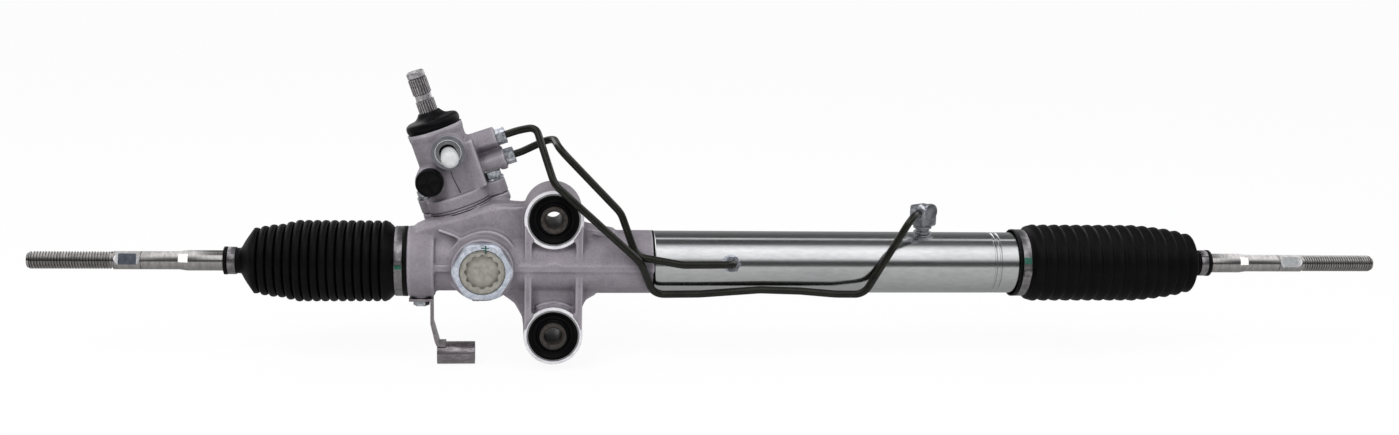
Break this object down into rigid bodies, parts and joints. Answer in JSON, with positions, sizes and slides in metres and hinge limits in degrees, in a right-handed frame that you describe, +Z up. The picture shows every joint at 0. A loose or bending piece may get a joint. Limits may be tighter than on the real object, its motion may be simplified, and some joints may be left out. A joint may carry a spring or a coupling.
{
  "type": "hydraulic rack and pinion steering rack",
  "caption": "Hydraulic rack and pinion steering gear: cast housing with valve tower, steel cylinder, bellows boots, tie rods, turn pipes and rubber-bushed mounts.",
  "frame": {"origin": "on the axis of the upper mounting bore, in the plane that holds the rack axis", "axes": "+X along the rack to the cylinder end, +Y to the rear, away from the rack guide cap, +Z up across both mounting bores"},
  "size_m": [1.289, 0.1013, 0.2764],
  "materials": {
    "cast_aluminium": "matt shot-blasted casting",
    "machined_aluminium": "turned",
    "polished_tube": "polished",
    "zinc_plate": "bright zinc plate",
    "bearing_steel": "ground",
    "ground_steel": "ground",
    "shaft_steel": "machined",
    "rod_steel": "bright drawn",
    "bush_steel": "dark phosphate",
    "spring_steel": "oiled",
    "stainless_band": "satin",
    "guide_cap_metal": "chromated",
    "bracket_sheet": "pressed sheet",
    "pipe_coating": "semi-gloss black coating",
    "boot_rubber": "satin",
    "rubber": "matt",
    "black_plastic": "moulded",
    "white_plastic": "moulded, slightly translucent",
    "liner_plastic": "moulded"
  },
  "bodies": {
    "housing": {"bracket_bolt": "zinc_plate", "cylinder_end_stopper": "machined_aluminium", "cylinder_tube": "polished_tube", "dust_cover": "rubber", "flare_nuts": "zinc_plate", "guide_cap": "guide_cap_metal", "guide_lock_nut": "zinc_plate", "guide_spring": "spring_steel", "hose_bracket": "bracket_sheet", "inner_rack_seal": "rubber", "input_shaft_bearing": "bearing_steel", "input_shaft_seal": "rubber", "left_boot": "boot_rubber", "left_boot_clamp": "stainless_band", "left_port_boss": "zinc_plate", "left_turn_tube": "pipe_coating", "lower_bush_rubber": "rubber", "lower_bush_shell": "bearing_steel", "lower_bush_sleeve": "bush_steel", "lower_pinion_bearing": "bearing_steel", "outer_rack_seal": "rubber", "pinion_bottom_cap": "zinc_plate", "pinion_oil_seal": "rubber", "pressure_port_seat": "bearing_steel", "rack_guide": "machined_aluminium", "rack_guide_liner": "liner_plastic", "rack_housing": "cast_aluminium", "right_boot": "boot_rubber", "right_boot_clamp": "stainless_band", "right_port_union": "zinc_plate", "right_turn_tube": "pipe_coating", "upper_bush_rubber": "rubber", "upper_bush_shell": "bearing_steel", "upper_bush_sleeve": "bush_steel", "upper_pinion_bearing": "bearing_steel", "valve_housing": "cast_aluminium", "valve_housing_bolts": "zinc_plate"},
    "rack": {"rack_bar": "ground_steel", "rack_piston": "machined_aluminium", "piston_ring": "liner_plastic", "piston_snap_rings": "spring_steel", "left_socket": "ground_steel", "right_socket": "ground_steel", "claw_washers": "spring_steel"},
    "pinion_shaft": {"pinion": "ground_steel", "valve_sleeve": "ground_steel", "sleeve_rings": "liner_plastic", "torsion_bar": "spring_steel", "pinion_nut": "zinc_plate"},
    "input": {"input_shaft": "shaft_steel"},
    "left_seat": {"left_ball_seat": "liner_plastic"},
    "right_seat": {"right_ball_seat": "liner_plastic"},
    "left_rod": {"left_tie_rod": "rod_steel", "left_boot_clip": "stainless_band"},
    "right_rod": {"right_tie_rod": "rod_steel", "right_boot_clip": "stainless_band"},
    "pressure_plug": {"pressure_port_plug": "white_plastic"},
    "return_cap": {"return_port_cap": "black_plastic"}
  },
  "joints": [
    {"name": "rack_slide", "type": "slide", "parent": "housing", "child": "rack", "axis": [1, 0, 0], "range_m": [-0.076, 0.076], "deforming": ["left_boot", "right_boot"]},
    {"name": "pinion_spin", "type": "hinge", "parent": "housing", "child": "pinion_shaft", "pos_m": [-0.068, 0.0155, -0.045], "axis": [-0.3256, 0, 0.9455], "range_deg": [-590, 590]},
    {"name": "valve_twist", "type": "hinge", "parent": "pinion_shaft", "child": "input", "pos_m": [-0.08753, 0.0155, 0.01173], "axis": [-0.3256, 0, 0.9455], "range_deg": [-3, 3], "stiffness_Nm_per_rad": 60},
    {"name": "left_ball_yaw", "type": "hinge", "parent": "rack", "child": "left_seat", "pos_m": [-0.218, 0, -0.045], "axis": [0, 0, 1], "range_deg": [-20, 20], "deforming": ["left_boot"]},
    {"name": "left_ball_pitch", "type": "hinge", "parent": "left_seat", "child": "left_rod", "pos_m": [-0.218, 0, -0.045], "axis": [0, 1, 0], "range_deg": [-20, 20], "deforming": ["left_boot"]},
    {"name": "right_ball_yaw", "type": "hinge", "parent": "rack", "child": "right_seat", "pos_m": [0.564, 0, -0.045], "axis": [0, 0, 1], "range_deg": [-20, 20], "deforming": ["right_boot"]},
    {"name": "right_ball_pitch", "type": "hinge", "parent": "right_seat", "child": "right_rod", "pos_m": [0.564, 0, -0.045], "axis": [0, 1, 0], "range_deg": [-20, 20], "deforming": ["right_boot"]},
    {"name": "pressure_plug_pull", "type": "slide", "parent": "housing", "child": "pressure_plug", "axis": [0, -1, 0], "range_m": [0, 0.03]},
    {"name": "return_cap_pull", "type": "slide", "parent": "housing", "child": "return_cap", "axis": [0, -1, 0], "range_m": [0, 0.03]}
  ],
  "couplings": [
    {"joint": "pinion_spin", "follows": "rack_slide", "rad_per_m": 135.07}
  ]
}
